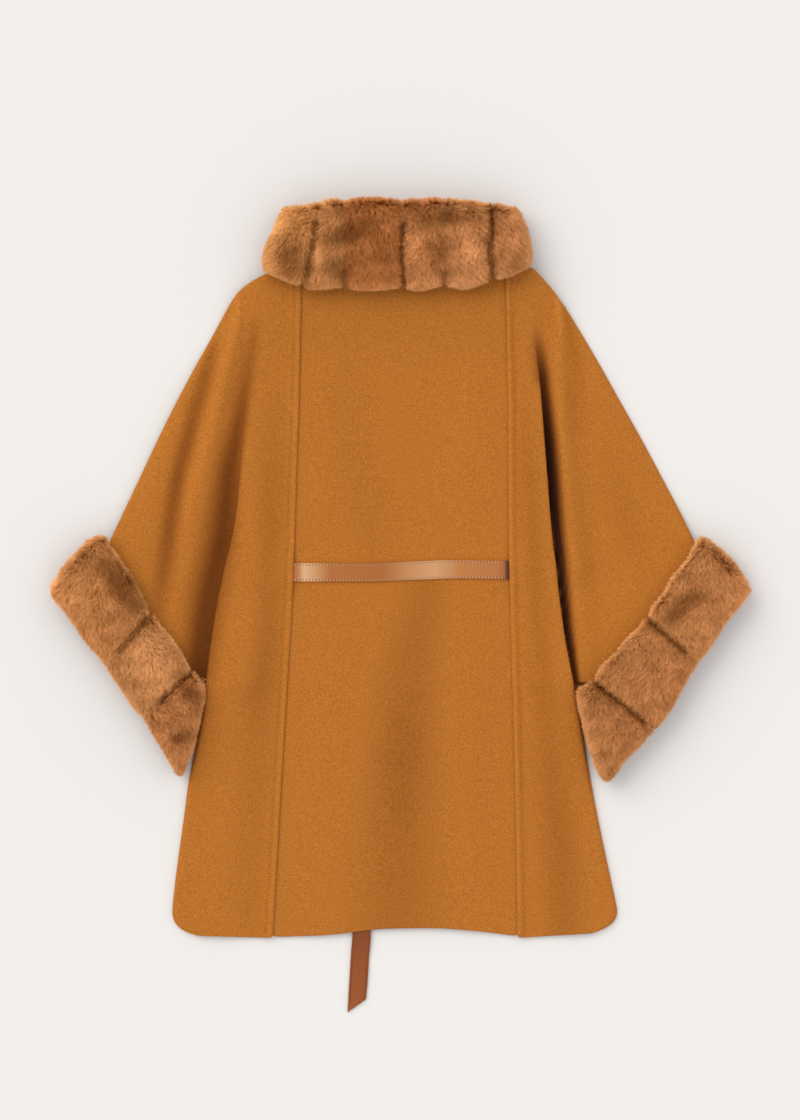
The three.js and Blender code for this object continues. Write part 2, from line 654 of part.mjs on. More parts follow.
// One pelt: a length of the ring between two turns, drawn in at both ends.
function pelt(ring, from, to, steps) {
  const centreAt = (turn) => {
    const { mark, z } = ring.place(turn);
    const { near, far } = ring.lineAt(mark);
    return new THREE.Vector3((near.x + far.x) / 2, (near.y + far.y) / 2, z);
  };
  const turns = Array.from({ length: steps + 1 }, (_, i) => THREE.MathUtils.lerp(from, to, i / steps));
  const centres = turns.map(centreAt);
  const runs = centres.map((point, i) => (i ? point.distanceTo(centres[i - 1]) : 0));
  const total = runs.reduce((sum, run) => sum + run, 0);
  const trim = (PELT_TRIM * (to - from)) / total;
  const rings = turns.map((turn, i) => {
    const inside = THREE.MathUtils.clamp(turn, from + trim, to - trim);
    const { mark, z, thick, tilt } = ring.place(inside);
    const { near, far } = ring.lineAt(mark);
    const below = smooth(PELT_UNDER.from, PELT_UNDER.to, Math.sin(tilt / 2));
    near.addScaledVector(far.clone().sub(near).normalize(), PELT_LOWER_INSET * below);
    const done = runs.slice(0, i + 1).reduce((sum, run) => sum + run, 0);
    const toEnd = Math.min(done, total - done);
    const pinch = 1 - smooth(0, PELT_PINCH, toEnd);
    const middle = new THREE.Vector3((near.x + far.x) / 2, (near.y + far.y) / 2, z);
    const reach = new THREE.Vector3(far.x - near.x, far.y - near.y, 0);
    reach.multiplyScalar((1 - PELT_NARROWER * pinch) / 2);
    const band = new THREE.Vector3(-reach.y, reach.x, 0).normalize();
    const before = ring.lineAt(mark - 1);
    const after = ring.lineAt(mark + 1);
    const way = after.near.sub(before.near);
    if (band.x * way.x + band.y * way.y < 0) band.negate();
    const outward = band.multiplyScalar(Math.sin(tilt)).add(new THREE.Vector3(0, 0, Math.cos(tilt)));
    const highest = Math.cos(Math.PI / PELT_SIDES) ** PELT_SQUARE;
    return Array.from({ length: PELT_SIDES }, (_, k) => {
      const angle = (2 * Math.PI * (k + 0.5)) / PELT_SIDES;
      const wide = Math.sign(Math.cos(angle)) * Math.abs(Math.cos(angle)) ** PELT_SQUARE;
      const high = Math.sign(Math.sin(angle)) * Math.abs(Math.sin(angle)) ** PELT_SQUARE;
      const drawn = (high > 0 ? 1 - PELT_SUNK * pinch : 1) / highest;
      const p = middle.clone().addScaledVector(reach, wide);
      p.addScaledVector(outward, (high * drawn * thick) / 2);
      p.z = Math.max(p.z, 0);
      return p;
    });
  });
  const geometry = loft(rings);
  return facingOut(geometry);
}

// The same geometry with its faces turned round where its volume comes out negative.
function facingOut(geometry) {
  const index = geometry.index.array;
  const p = geometry.attributes.position;
  const corner = (i) => new THREE.Vector3().fromBufferAttribute(p, index[i]);
  let volume = 0;
  for (let i = 0; i < index.length; i += 3) {
    volume += corner(i).dot(corner(i + 1).cross(corner(i + 2)));
  }
  if (volume < 0) {
    for (let i = 0; i < index.length; i += 3) [index[i], index[i + 1]] = [index[i + 1], index[i]];
  }
  return geometry;
}

const WRAP = 0.12; // the end pelts reach this far round under the cloth, as a turn of the ring

function furMeshes() {
  const collar = furRing(COLLAR_LINES, NECK);
  const cuffs = {
    cuff_left: furRing(LEFT_CUFF_LINES, CUFF),
    cuff_right: furRing(RIGHT_CUFF_LINES, CUFF),
  };
  const pieces = [];
  const collarSeams = [-1 - WRAP, ...[1, 2, 3, 4, 5].map(collar.turnOf), 2 + WRAP];
  for (let i = 0; i < 6; i++) {
    const ends = i === 0 || i === 5;
    pieces.push([`collar_pelt_${i + 1}`, pelt(collar, collarSeams[i], collarSeams[i + 1], ends ? 10 : 6)]);
  }
  pieces.push(["collar_front_right", pelt(collar, 2 + WRAP, 2.5, 3)]);
  pieces.push(["collar_front_left", pelt(collar, 2.5, 3 - WRAP, 3)]);
  Object.entries(cuffs).forEach(([name, ring]) => {
    pieces.push([`${name}_upper`, pelt(ring, -1 - WRAP, ring.turnOf(1), 11)]);
    pieces.push([`${name}_middle`, pelt(ring, ring.turnOf(1), ring.turnOf(2), 7)]);
    pieces.push([`${name}_lower`, pelt(ring, ring.turnOf(2), 2 + WRAP, 10)]);
    pieces.push([`${name}_under`, pelt(ring, 2 + WRAP, 3 - WRAP, 5)]);
  });
  return pieces;
}

const cape = new THREE.Group();

function add(name, geometry, finish) {
  const mesh = new THREE.Mesh(geometry, new THREE.MeshStandardMaterial(finish));
  mesh.name = name;
  cape.add(mesh);
}

const { strip: neckStrip, panel: centrePanel } = centreBack();
add("back_centre", facingOut(centrePanel), WOOL);
add("back_neck", facingOut(neckStrip), WOOL);
add("back_side_left", facingOut(sideBack("left")), WOOL);
add("back_side_right", facingOut(sideBack("right")), WOOL);
add("front_left", facingOut(front("left")), WOOL);
add("front_right", facingOut(front("right")), WOOL);
add("belt_back", facingOut(beltBack()), LEATHER);
add("belt_front", facingOut(beltFront()), LEATHER);
add("belt_tail", facingOut(beltTail()), LEATHER);
furMeshes().forEach(([name, geometry]) => add(name, geometry, FUR));

// The group's origin is under the middle of the garment's box, on the floor.
const box = new THREE.Box3().setFromObject(cape);
const middle = box.getCenter(new THREE.Vector3());
cape.children.forEach((mesh) => mesh.geometry.translate(-middle.x, -middle.y, -box.min.z));

export default cape;
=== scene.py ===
"""A camel wool cape with fur collar and cuffs, laid flat on a pale floor with its back up."""
import math

import bmesh
import bpy
import numpy as np
from mathutils import Matrix, Vector


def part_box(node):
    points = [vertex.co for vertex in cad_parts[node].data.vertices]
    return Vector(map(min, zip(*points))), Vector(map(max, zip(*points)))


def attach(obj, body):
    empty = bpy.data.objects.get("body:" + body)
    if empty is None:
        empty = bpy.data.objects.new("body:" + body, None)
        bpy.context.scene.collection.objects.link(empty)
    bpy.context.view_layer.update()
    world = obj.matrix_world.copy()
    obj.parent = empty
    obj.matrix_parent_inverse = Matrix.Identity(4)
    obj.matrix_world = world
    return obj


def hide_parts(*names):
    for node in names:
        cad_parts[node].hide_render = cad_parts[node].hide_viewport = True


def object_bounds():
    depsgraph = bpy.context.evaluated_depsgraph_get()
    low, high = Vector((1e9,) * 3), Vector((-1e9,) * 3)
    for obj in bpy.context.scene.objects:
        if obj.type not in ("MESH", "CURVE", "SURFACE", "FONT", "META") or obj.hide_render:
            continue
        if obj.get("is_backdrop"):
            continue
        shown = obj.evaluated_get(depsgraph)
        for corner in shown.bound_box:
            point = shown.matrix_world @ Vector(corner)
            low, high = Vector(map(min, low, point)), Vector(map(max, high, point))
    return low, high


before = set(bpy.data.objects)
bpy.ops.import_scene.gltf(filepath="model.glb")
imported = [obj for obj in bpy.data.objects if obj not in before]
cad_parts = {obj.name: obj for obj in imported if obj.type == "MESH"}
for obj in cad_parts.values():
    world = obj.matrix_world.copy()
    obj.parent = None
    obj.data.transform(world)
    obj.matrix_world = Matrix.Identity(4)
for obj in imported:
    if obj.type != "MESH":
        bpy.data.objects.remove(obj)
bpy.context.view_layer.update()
scene = bpy.context.scene

# The photograph's view: straight down from far above, the collar at the top of the picture.
# The whole picture spans 1.04 m by 1.456 m of the floor.
VIEW_HEIGHT = 1.456
VIEW_CENTRE = (0.0, 0.0618)
EYE_HEIGHT = 6.0
FILM_HEIGHT = 24.0

camera = bpy.data.objects.new("camera", bpy.data.cameras.new("camera"))
scene.collection.objects.link(camera)
camera.location = (*VIEW_CENTRE, EYE_HEIGHT)
camera.data.sensor_fit = "VERTICAL"
camera.data.sensor_height = FILM_HEIGHT
camera.data.lens = FILM_HEIGHT * EYE_HEIGHT / VIEW_HEIGHT
camera.data.clip_end = 50
scene.camera = camera


def linear(hex_colour):
    """An sRGB hex value as the linear colour that a shader takes."""
    parts = [int(hex_colour[i:i + 2], 16) / 255 for i in (1, 3, 5)]
    return tuple(v / 12.92 if v <= 0.04045 else ((v + 0.055) / 1.055) ** 2.4 for v in parts) + (1.0,)


def new_node(material, kind, links=(), **settings):
    """Adds a node, sets its inputs and properties by name, and links it: links are (input, source)."""
    made = material.node_tree.nodes.new(kind)
    for name, value in settings.items():
        socket = made.inputs.get(name.replace("_", " "))
        if socket is not None:
            socket.default_value = value
        else:
            setattr(made, name, value)
    for name, source in links:
        material.node_tree.links.new(source, made.inputs[name])
    return made


def new_material(name, **values):
    """A new material and its shader, with the shader's inputs set by name."""
    material = bpy.data.materials.new(name)
    material.use_nodes = True
    shader = material.node_tree.nodes["Principled BSDF"]
    for socket, value in values.items():
        shader.inputs[socket.replace("_", " ")].default_value = value
    return material, shader


# Plain pale studio floor, matt and faintly warm, with soft light from the upper left.
# The even light all round is a little blue, so the soft shadows at the lower right are too.
FLOOR_HALF = 6.0
FLOOR_BELOW = 0.0006
SUN_FROM = Vector((-1.0, 1.0, 1.35))

bpy.ops.object.select_all(action="DESELECT")
bpy.ops.mesh.primitive_plane_add(size=FLOOR_HALF * 2, location=(0, 0, -FLOOR_BELOW))
floor = bpy.context.object
floor.name = "floor"
bpy.ops.object.transform_apply(location=True)
matt_paper, _ = new_material(
    "matt_paper", Base_Color=linear("#f2f0eb"), Roughness=0.9, Specular_IOR_Level=0.1)
floor.data.materials.append(matt_paper)
floor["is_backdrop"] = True

scene.view_settings.view_transform = "Standard"
scene.view_settings.look = "None"
scene.world = bpy.data.worlds.new("studio")
scene.world.use_nodes = True
sky = scene.world.node_tree.nodes["Background"]
sky.inputs["Color"].default_value = linear("#fbfbff")
sky.inputs["Strength"].default_value = 0.825

sun = bpy.data.objects.new("window_light", bpy.data.lights.new("window_light", "SUN"))
scene.collection.objects.link(sun)
sun.rotation_euler = SUN_FROM.to_track_quat("Z", "Y").to_euler()
sun.data.energy = 0.98
sun.data.angle = math.radians(48)
sun.data.color = linear("#fffaf2")[:3]


# Double-faced camel wool, five panels, lapped at the two seams of the back. Each is a refined copy of its
# solid, subdivided and smooth. The felled edges, the listed folds and the slight ripples of cloth lying
# on cloth are moved into it, with painted shade in its folds, grooves and gaps and painted highlights on
# its crests and felled edges.
WOOL_PANELS = {
    "back_centre": {
        "nodes": ["back_centre", "back_neck"], "levels": 2, "flat": (0.335, 0.882), "area": 0.266},
    "back_side_left": {"nodes": ["back_side_left"], "levels": 2, "flat": (0.30, 0.882), "area": 0.158},
    "back_side_right": {"nodes": ["back_side_right"], "levels": 2, "flat": (0.30, 0.882), "area": 0.146},
    "front_left": {"nodes": ["front_left"], "levels": 1, "flat": (0.39, 0.876), "area": 0.248},
    "front_right": {"nodes": ["front_right"], "levels": 1, "flat": (0.39, 0.876), "area": 0.243},
}
WOOL_DARK = "#783c0b"
WOOL_LIGHT = "#ea943b"

# Where the painted shade is dark it also takes a redder, deeper tone than its brightness alone would give.
PAINTED_SHADE_TONE = np.array([1.0, 1.22, 1.5])

# Where each side back's felled edge runs over the centre back, as (y, x) from the neck to the hem. The
# edge is a low ridge with a groove beside it: a painted highlight lightens the ridge, painted shade darkens
# the groove.
SEAMS = {
    "back_side_left": [(0.452, -0.126), (0.27, -0.130), (0.066, -0.137), (-0.14, -0.148), (-0.43, -0.165)],
    "back_side_right": [(0.452, 0.133), (0.27, 0.140), (0.066, 0.141), (-0.14, 0.147), (-0.43, 0.152)],
}
FELL_WIDTH = 0.008
FELL_RISE = 0.0013
FELL_PAINTED_HIGHLIGHT = 0.06
GROOVE_WIDTH = 0.002
GROOVE_DEPTH = 0.0006
GROOVE_PAINTED_SHADE = 0.10

# The centre back's two solids are welded at the neck. Points this near to the seam line belong to it.
NECK_SEAM = 0.4099
NECK_SEAM_HALF = 0.0004
NECK_WELD = 0.0006
SAME_POINT = 0.00002
PAIRING_ANGLE = 60

# The cloth's ripples are a sum of a few waves in seeded directions, and the belt's place has none.
RIPPLE = 0.0008
RIPPLE_SIZE = 0.085
RIPPLE_SEED = 3
WAVES = 9
WAVE_PACES = (0.6, 1.5)
WAVE_STRETCH = 2.2
BELT_LINE = 0.048
BELT_CLEAR = (0.025, 0.06)

# Soft folds of the sleeves and the back. Each row is a place on the fold's middle line, how far the fold
# reaches to each side, how much it lifts or sinks the cloth, and the factor on its colour there: painted
# shade below 1, painted highlight above 1.
FOLD_COLUMNS = ("x", "y", "wide", "lift", "shade")
FOLD_FADE = 1.6
FOLDS = {
    "left_trough_by_the_body": [
        (-0.187, 0.385, 0.007, 0.0, 1.0), (-0.190, 0.345, 0.009, -0.001, 0.76),
        (-0.198, 0.300, 0.010, -0.001, 0.66), (-0.209, 0.240, 0.012, -0.001, 0.48),
        (-0.222, 0.183, 0.015, -0.001, 0.38), (-0.234, 0.090, 0.021, -0.001, 0.37),
        (-0.252, 0.010, 0.025, 0.0, 0.46), (-0.262, -0.080, 0.023, 0.0, 0.50)],
    "left_trough_outside": [
        (-0.238, 0.352, 0.006, 0.0, 1.0), (-0.2415, 0.332, 0.008, -0.001, 0.80),
        (-0.254, 0.290, 0.010, -0.001, 0.68), (-0.274, 0.221, 0.011, -0.001, 0.60),
        (-0.289, 0.166, 0.011, -0.001, 0.55), (-0.299, 0.104, 0.012, -0.001, 0.54),
        (-0.306, 0.050, 0.013, -0.001, 0.62), (-0.314, 0.000, 0.012, 0.0, 0.85)],
    "left_shoulder_ridge": [
        (-0.2105, 0.406, 0.004, 0.001, 1.0), (-0.2105, 0.395, 0.004, 0.002, 1.12),
        (-0.210, 0.372, 0.006, 0.002, 1.08), (-0.212, 0.340, 0.008, 0.001, 1.0)],
    "right_shoulder_ridge": [
        (0.202, 0.406, 0.003, 0.001, 1.0), (0.205, 0.394, 0.004, 0.002, 1.14),
        (0.209, 0.374, 0.005, 0.002, 1.10), (0.213, 0.350, 0.007, 0.001, 1.0)],
    "left_crest": [
        (-0.212, 0.402, 0.008, 0.0, 1.05), (-0.222, 0.330, 0.016, 0.003, 1.06),
        (-0.250, 0.220, 0.020, 0.005, 1.06), (-0.272, 0.120, 0.022, 0.005, 1.04),
        (-0.286, 0.040, 0.022, 0.003, 1.0)],
    "left_outer_crest": [
        (-0.262, 0.330, 0.018, 0.002, 1.03), (-0.310, 0.200, 0.026, 0.004, 1.04),
        (-0.345, 0.090, 0.030, 0.003, 1.04), (-0.340, 0.020, 0.030, 0.0, 1.0)],
    "right_crest": [
        (0.205, 0.400, 0.006, 0.0, 1.05), (0.208, 0.345, 0.012, 0.003, 1.05),
        (0.212, 0.250, 0.016, 0.005, 1.04), (0.222, 0.120, 0.018, 0.006, 1.03),
        (0.232, 0.020, 0.018, 0.005, 1.03), (0.240, -0.060, 0.016, 0.002, 1.0)],
    "right_dip_beside_it": [
        (0.213, 0.390, 0.004, 0.0, 0.88), (0.220, 0.360, 0.008, 0.0, 0.84),
        (0.228, 0.320, 0.012, -0.001, 0.88), (0.232, 0.240, 0.016, -0.001, 0.94)],
    "right_dip_lower": [
        (0.262, 0.240, 0.014, 0.0, 1.0), (0.290, 0.130, 0.018, -0.001, 0.92),
        (0.322, 0.020, 0.018, 0.0, 0.97)],
    "right_shoulder_dip": [
        (0.176, 0.368, 0.010, 0.0, 0.98), (0.178, 0.340, 0.012, 0.0, 0.80),
        (0.182, 0.300, 0.012, 0.0, 0.66)],
    "centre_left_dip": [
        (-0.058, 0.380, 0.030, 0.0, 1.0), (-0.058, 0.220, 0.034, -0.001, 0.95),
        (-0.030, 0.080, 0.030, 0.0, 0.93)],
    "centre_middle_dip": [
        (0.033, 0.025, 0.028, 0.0, 0.86), (0.012, -0.090, 0.040, -0.001, 0.82),
        (0.004, -0.200, 0.044, -0.001, 0.74), (0.000, -0.300, 0.050, -0.001, 0.80),
        (-0.006, -0.440, 0.060, 0.0, 0.84)],
    "left_side_dip": [
        (-0.160, 0.300, 0.014, 0.0, 1.0), (-0.162, 0.180, 0.020, 0.0, 0.92),
        (-0.168, 0.020, 0.020, -0.001, 0.90), (-0.180, -0.160, 0.022, -0.001, 0.92),
        (-0.195, -0.400, 0.022, 0.0, 0.95)],
    "right_side_dip": [
        (0.160, 0.300, 0.010, 0.0, 1.0), (0.168, 0.180, 0.014, 0.0, 0.86),
        (0.176, 0.020, 0.016, -0.001, 0.88), (0.190, -0.160, 0.020, -0.001, 0.86),
        (0.208, -0.320, 0.026, -0.001, 0.80), (0.215, -0.440, 0.026, 0.0, 0.86)],
}

# The gap beside each body edge, where the sleeve comes out from under it, from the shoulder down to the
# cuff: the edge's distance from the middle, the height halfway down its step, how far the painted shadow
# reaches from the edge, and how dark the painted shadow makes the cloth's colour there.
GAP_COLUMNS = ("y", "edge", "half_height", "wide", "shade")
GAPS = {
    "left": [
        (0.250, 0.2050, 0.0100, 0.010, 1.00), (0.190, 0.2065, 0.0100, 0.014, 0.90),
        (0.160, 0.2085, 0.0105, 0.018, 0.84), (0.100, 0.2165, 0.0110, 0.022, 0.78),
        (0.040, 0.2305, 0.0100, 0.026, 0.74), (-0.020, 0.2425, 0.0120, 0.030, 0.68),
        (-0.050, 0.2465, 0.0170, 0.028, 0.62), (-0.080, 0.2505, 0.0200, 0.024, 0.55),
        (-0.112, 0.2540, 0.0200, 0.020, 0.50)],
    "right": [
        (0.360, 0.1765, 0.0140, 0.008, 1.00), (0.340, 0.1775, 0.0125, 0.010, 0.80),
        (0.310, 0.1805, 0.0095, 0.012, 0.40), (0.280, 0.1825, 0.0100, 0.014, 0.18),
        (0.220, 0.1875, 0.0100, 0.0175, 0.06), (0.160, 0.1925, 0.0100, 0.0180, 0.04),
        (0.100, 0.1975, 0.0105, 0.0170, 0.04), (0.040, 0.2045, 0.0100, 0.0155, 0.04),
        (-0.020, 0.2115, 0.0095, 0.0135, 0.05), (-0.050, 0.2165, 0.0130, 0.0120, 0.07),
        (-0.080, 0.2225, 0.0180, 0.0090, 0.12), (-0.112, 0.2290, 0.0180, 0.0080, 0.20)],
}

# The painted shadow: near the edge it covers only what lies below the step's upper part, and past the step
# all of the cloth. It fades out over shares of its width, and ends a little below the last row.
GAP_STEP_TOP = (0.0018, 0.0048)
GAP_STEP_START = (-0.003, -0.001)
GAP_STEP_END = 0.0025
GAP_FADE = (0.45, 1.3)
GAP_LOWER_END = 0.004


def take_only(piece):
    bpy.ops.object.select_all(action="DESELECT")
    piece.select_set(True)
    bpy.context.view_layer.objects.active = piece


def weld_at_neck(piece):
    """In edit mode: takes the two rims at the neck seam away and joins their points."""
    work = bmesh.from_edit_mesh(piece.data)
    met = {v for v in work.verts if abs(v.co.y - NECK_SEAM) < NECK_SEAM_HALF}
    rims = [face for face in work.faces if met.issuperset(face.verts)]
    bmesh.ops.delete(work, geom=rims, context="FACES_ONLY")
    bmesh.ops.remove_doubles(work, verts=[v for v in met if v.is_valid], dist=NECK_WELD)
    bmesh.update_edit_mesh(piece.data)
    bpy.ops.mesh.select_all(action="SELECT")


def crease_sharp_edges(piece, sharp, crease):
    work = bmesh.new()
    work.from_mesh(piece.data)
    layer = work.edges.layers.float.new("crease_edge")
    for edge in work.edges:
        if edge.calc_face_angle(0) > math.radians(sharp):
            edge[layer] = crease
    work.to_mesh(piece.data)
    work.free()


def refined_copy(nodes, name, levels, sharp=None, crease=1.0):
    """A merged copy of one or more solids, its triangles paired, subdivided and smooth.
    Edges that turn by more than the sharp angle keep their place as far as crease says."""
    copies = []
    for node in nodes:
        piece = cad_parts[node].copy()
        piece.data = piece.data.copy()
        scene.collection.objects.link(piece)
        copies.append(piece)
    take_only(copies[0])
    for piece in copies[1:]:
        piece.select_set(True)
    if len(copies) > 1:
        bpy.ops.object.join()
    piece = copies[0]
    piece.name = piece.data.name = name
    take_only(piece)
    if piece.data.has_custom_normals:
        bpy.ops.mesh.customdata_custom_splitnormals_clear()
    bpy.ops.object.mode_set(mode="EDIT")
    bpy.ops.mesh.select_all(action="SELECT")
    bpy.ops.mesh.remove_doubles(threshold=SAME_POINT)
    if len(nodes) > 1:
        weld_at_neck(piece)
    bpy.ops.mesh.tris_convert_to_quads(
        face_threshold=math.radians(PAIRING_ANGLE), shape_threshold=math.radians(PAIRING_ANGLE))
    bpy.ops.object.mode_set(mode="OBJECT")
    if sharp:
        crease_sharp_edges(piece, sharp, crease)
    if levels:
        finer = piece.modifiers.new("finer", "SUBSURF")
        finer.levels = finer.render_levels = levels
        bpy.ops.object.modifier_apply(modifier="finer")
    bpy.ops.object.shade_smooth()
    piece.data.materials.clear()
    return piece


def points_of(piece):
    flat = np.empty(len(piece.data.vertices) * 3)
    piece.data.vertices.foreach_get("co", flat)
    return flat.reshape(-1, 3)


def normals_of(piece):
    flat = np.empty(len(piece.data.vertices) * 3)
    piece.data.vertices.foreach_get("normal", flat)
    return flat.reshape(-1, 3)


def set_points(piece, points):
    piece.data.vertices.foreach_set("co", points.reshape(-1))
    piece.data.update()


def ease(low, high, value):
    t = np.clip((value - low) / (high - low), 0, 1)
    return t * t * (3 - 2 * t)


def paint(mesh, name, colours):
    """Gives each point of a mesh its colour, under the name that the material reads."""
    mesh.color_attributes.new(name, "FLOAT_COLOR", "POINT").data.foreach_set(
        "color", colours.astype(np.float32).reshape(-1))


def ripples(points, size, seed):
    """Smooth waves from about -1 to 1 over the floor plane, the same at both faces of the cloth."""
    chance = np.random.default_rng(seed)
    turns = chance.uniform(0, 2 * math.pi, WAVES)
    pace = chance.uniform(*WAVE_PACES, WAVES) * 2 * math.pi / (size * WAVE_STRETCH)
    shifts = chance.uniform(0, 2 * math.pi, WAVES)
    swings = np.zeros(len(points))
    for turn, step, shift in zip(turns, pace, shifts):
        swings += np.sin((points[:, 0] * math.cos(turn) + points[:, 1] * math.sin(turn)) * step + shift)
    return swings / (WAVES / 2)


def beside(points, start, end):
    """How far along a straight line each point is, from 0 to 1, and how far off it."""
    run = end - start
    along = np.clip((points[:, :2] - start) @ run / (run @ run), 0, 1)
    return along, np.linalg.norm(points[:, :2] - start - along[:, None] * run, axis=1)


def follow(rows, columns, points):
    """How far off a line of rows each point is, and the rows' other columns at the place nearest to it."""
    table = np.array(rows)
    off = np.full(len(points), np.inf)
    found = np.zeros((len(points), len(columns) - 2))
    for start, end in zip(table[:-1], table[1:]):
        along, far = beside(points, start[:2], end[:2])
        nearer = far < off
        off = np.where(nearer, far, off)
        found[nearer] = (start[2:] + along[:, None] * (end[2:] - start[2:]))[nearer]
    return {"off": off, **dict(zip(columns[2:], found.T))}


def gap_shade(points, side, rows):
    """The painted shadow on the cloth's colour in the gap beside one of the body's edges."""
    table = dict(zip(GAP_COLUMNS, np.array(rows[::-1]).T))
    levels = table.pop("y")
    gap = {name: np.interp(points[:, 1], levels, column) for name, column in table.items()}
    beyond = points[:, 0] * (1 if side == "right" else -1) - gap["edge"]
    sunk = (1 - ease(*GAP_STEP_TOP, points[:, 2] - gap["half_height"])) * ease(*GAP_STEP_START, beyond)
    sunk = np.where(beyond > GAP_STEP_END, 1, sunk)
    within = ease(levels[0] - GAP_LOWER_END, levels[0], points[:, 1]) * (points[:, 1] < levels[-1])
    return 1 + (gap["shade"] - 1) * sunk * within * (1 - ease(*GAP_FADE, beyond / gap["wide"]))


def fold_cloth(points):
    """Moves the back's cloth into its soft folds, and returns the painted shade and highlight on its colour
    at each point.
    """
    shade = np.ones(len(points))
    lifted = np.zeros(len(points))
    for rows in FOLDS.values():
        fold = follow(rows, FOLD_COLUMNS, points)
        part = 1 - ease(0.0, FOLD_FADE, fold["off"] / fold["wide"])
        lifted += fold["lift"] * part
        shade *= 1 + (fold["shade"] - 1) * part
    for side, rows in GAPS.items():
        shade *= gap_shade(points, side, rows)
    points[:, 2] += lifted
    return shade


def fell_seam(points, seam):
    """Raises a side back's edge along its seam, and returns its painted highlight on the ridge and painted
    shade in the groove.
    """
    seam_y, seam_x = np.array(seam[::-1]).T
    beyond = np.abs(points[:, 0]) - np.abs(np.interp(points[:, 1], seam_y, seam_x))
    ridge = np.sin(np.pi * np.clip(beyond / FELL_WIDTH, 0, 1))
    groove = np.exp(-((beyond - FELL_WIDTH - GROOVE_WIDTH) / GROOVE_WIDTH) ** 2)
    points[:, 2] += FELL_RISE * ridge - GROOVE_DEPTH * groove
    return 1 + FELL_PAINTED_HIGHLIGHT * ridge - GROOVE_PAINTED_SHADE * groove


def wool_material():
    material, shader = new_material(
        "brushed_camel_wool", Roughness=0.95, Specular_IOR_Level=0.15,
        Sheen_Weight=0.12, Sheen_Roughness=0.6, Sheen_Tint=linear("#e0a060"))
    place = new_node(material, "ShaderNodeTexCoord")
    grain = new_node(
        material, "ShaderNodeTexNoise", [("Vector", place.outputs["Object"])],
        Scale=430.0, Detail=3.0, Roughness=0.75)
    tones = new_node(material, "ShaderNodeMix", [("Factor", grain.outputs["Fac"])], data_type="RGBA")
    tones.inputs["A"].default_value = linear(WOOL_DARK)
    tones.inputs["B"].default_value = linear(WOOL_LIGHT)
    # Point colours of painted shade and highlight multiply the wool's colour.
    painted_shading = new_node(material, "ShaderNodeAttribute", attribute_name="painted_shade_and_highlight")
    colour = new_node(
        material, "ShaderNodeMix", [("A", tones.outputs["Result"]), ("B", painted_shading.outputs["Color"])],
        data_type="RGBA", blend_type="MULTIPLY")
    colour.inputs["Factor"].default_value = 1.0
    bump = new_node(
        material, "ShaderNodeBump", [("Height", grain.outputs["Fac"])], Strength=0.55, Distance=0.0014)
    material.node_tree.links.new(colour.outputs["Result"], shader.inputs["Base Color"])
    material.node_tree.links.new(bump.outputs["Normal"], shader.inputs["Normal"])
    return material


wool_cloth = wool_material()
for name, cut in WOOL_PANELS.items():
    panel = refined_copy(cut["nodes"], f"wool_{name}", cut["levels"])
    points = points_of(panel)
    shade = np.ones(len(points))
    if name in SEAMS:
        shade *= fell_seam(points, SEAMS[name])
    if name.startswith("back"):
        away_from_belt = ease(*BELT_CLEAR, np.abs(points[:, 1] - BELT_LINE))
        points[:, 2] += RIPPLE * away_from_belt * ripples(points, RIPPLE_SIZE, RIPPLE_SEED)
        shade *= fold_cloth(points)
    points[:, 2] = np.maximum(points[:, 2], 0)
    set_points(panel, points)
    # The folds', gaps' and seams' painted shade and highlights are kept as point colours.
    tone = np.ones((len(points), 4))
    tone[:, :3] = shade[:, None] ** PAINTED_SHADE_TONE
    paint(panel.data, "painted_shade_and_highlight", tone)
    panel.data.materials.append(wool_cloth)
    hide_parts(*cut["nodes"])
    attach(panel, "root")


# Narrow tan leather belt with a row of stitches along both edges. It shows across the centre back, where
# its ends go in under the lapped seams, and its darker, slant-cut end hangs out below the hem.
LEATHER_BEVEL = 0.0005
STITCH_PITCH = 0.0042
STITCH_LONG = 0.0026
STITCH_WIDE = 0.0009
STITCH_INSET = 0.0024
HOLE_WIDE = 0.0017
HOLE_RISE = 0.0001
HOLE_PAINTED_SHADE = "#5c2f12"
ABOVE_ALL = 0.2

# The axis that each strap runs along, and from where to where its stitches go.
LEATHER_PIECES = {
    "belt_back": {"along": 0, "stitched": (-0.1365, 0.1385), "thread": "#ecc49a"},
    "belt_front": {"along": 0, "stitched": None, "thread": None},
    "belt_tail": {"along": 1, "stitched": (-0.514, -0.420), "thread": "#6b3414"},
}

# The leather's tone along each stretch. At the belt across the back it also holds painted highlights, its
# gloss in two soft bands, and a painted shadow near its right end, where it goes in under the seam.
LEATHER_TONES_AND_PAINTED_GLOSS = {
    "belt_back": [
        (0.081, "#b26c30"), (0.102, "#bd7b42"), (0.123, "#deb083"), (0.165, "#cc9762"), (0.225, "#b36a2d"),
        (0.436, "#ae6629"), (0.546, "#c78b56"), (0.640, "#d29c6c"), (0.740, "#be7a3d"), (0.880, "#b9723a"),
        (0.910, "#a9652f"), (0.920, "#54290f")],
    "belt_front": [(0.0, "#a86a3c"), (1.0, "#a86a3c")],
    "belt_tail": [(0.0, "#9c521c"), (0.12, "#944b17"), (0.19, "#83400f"), (1.0, "#7c3a10")],
}


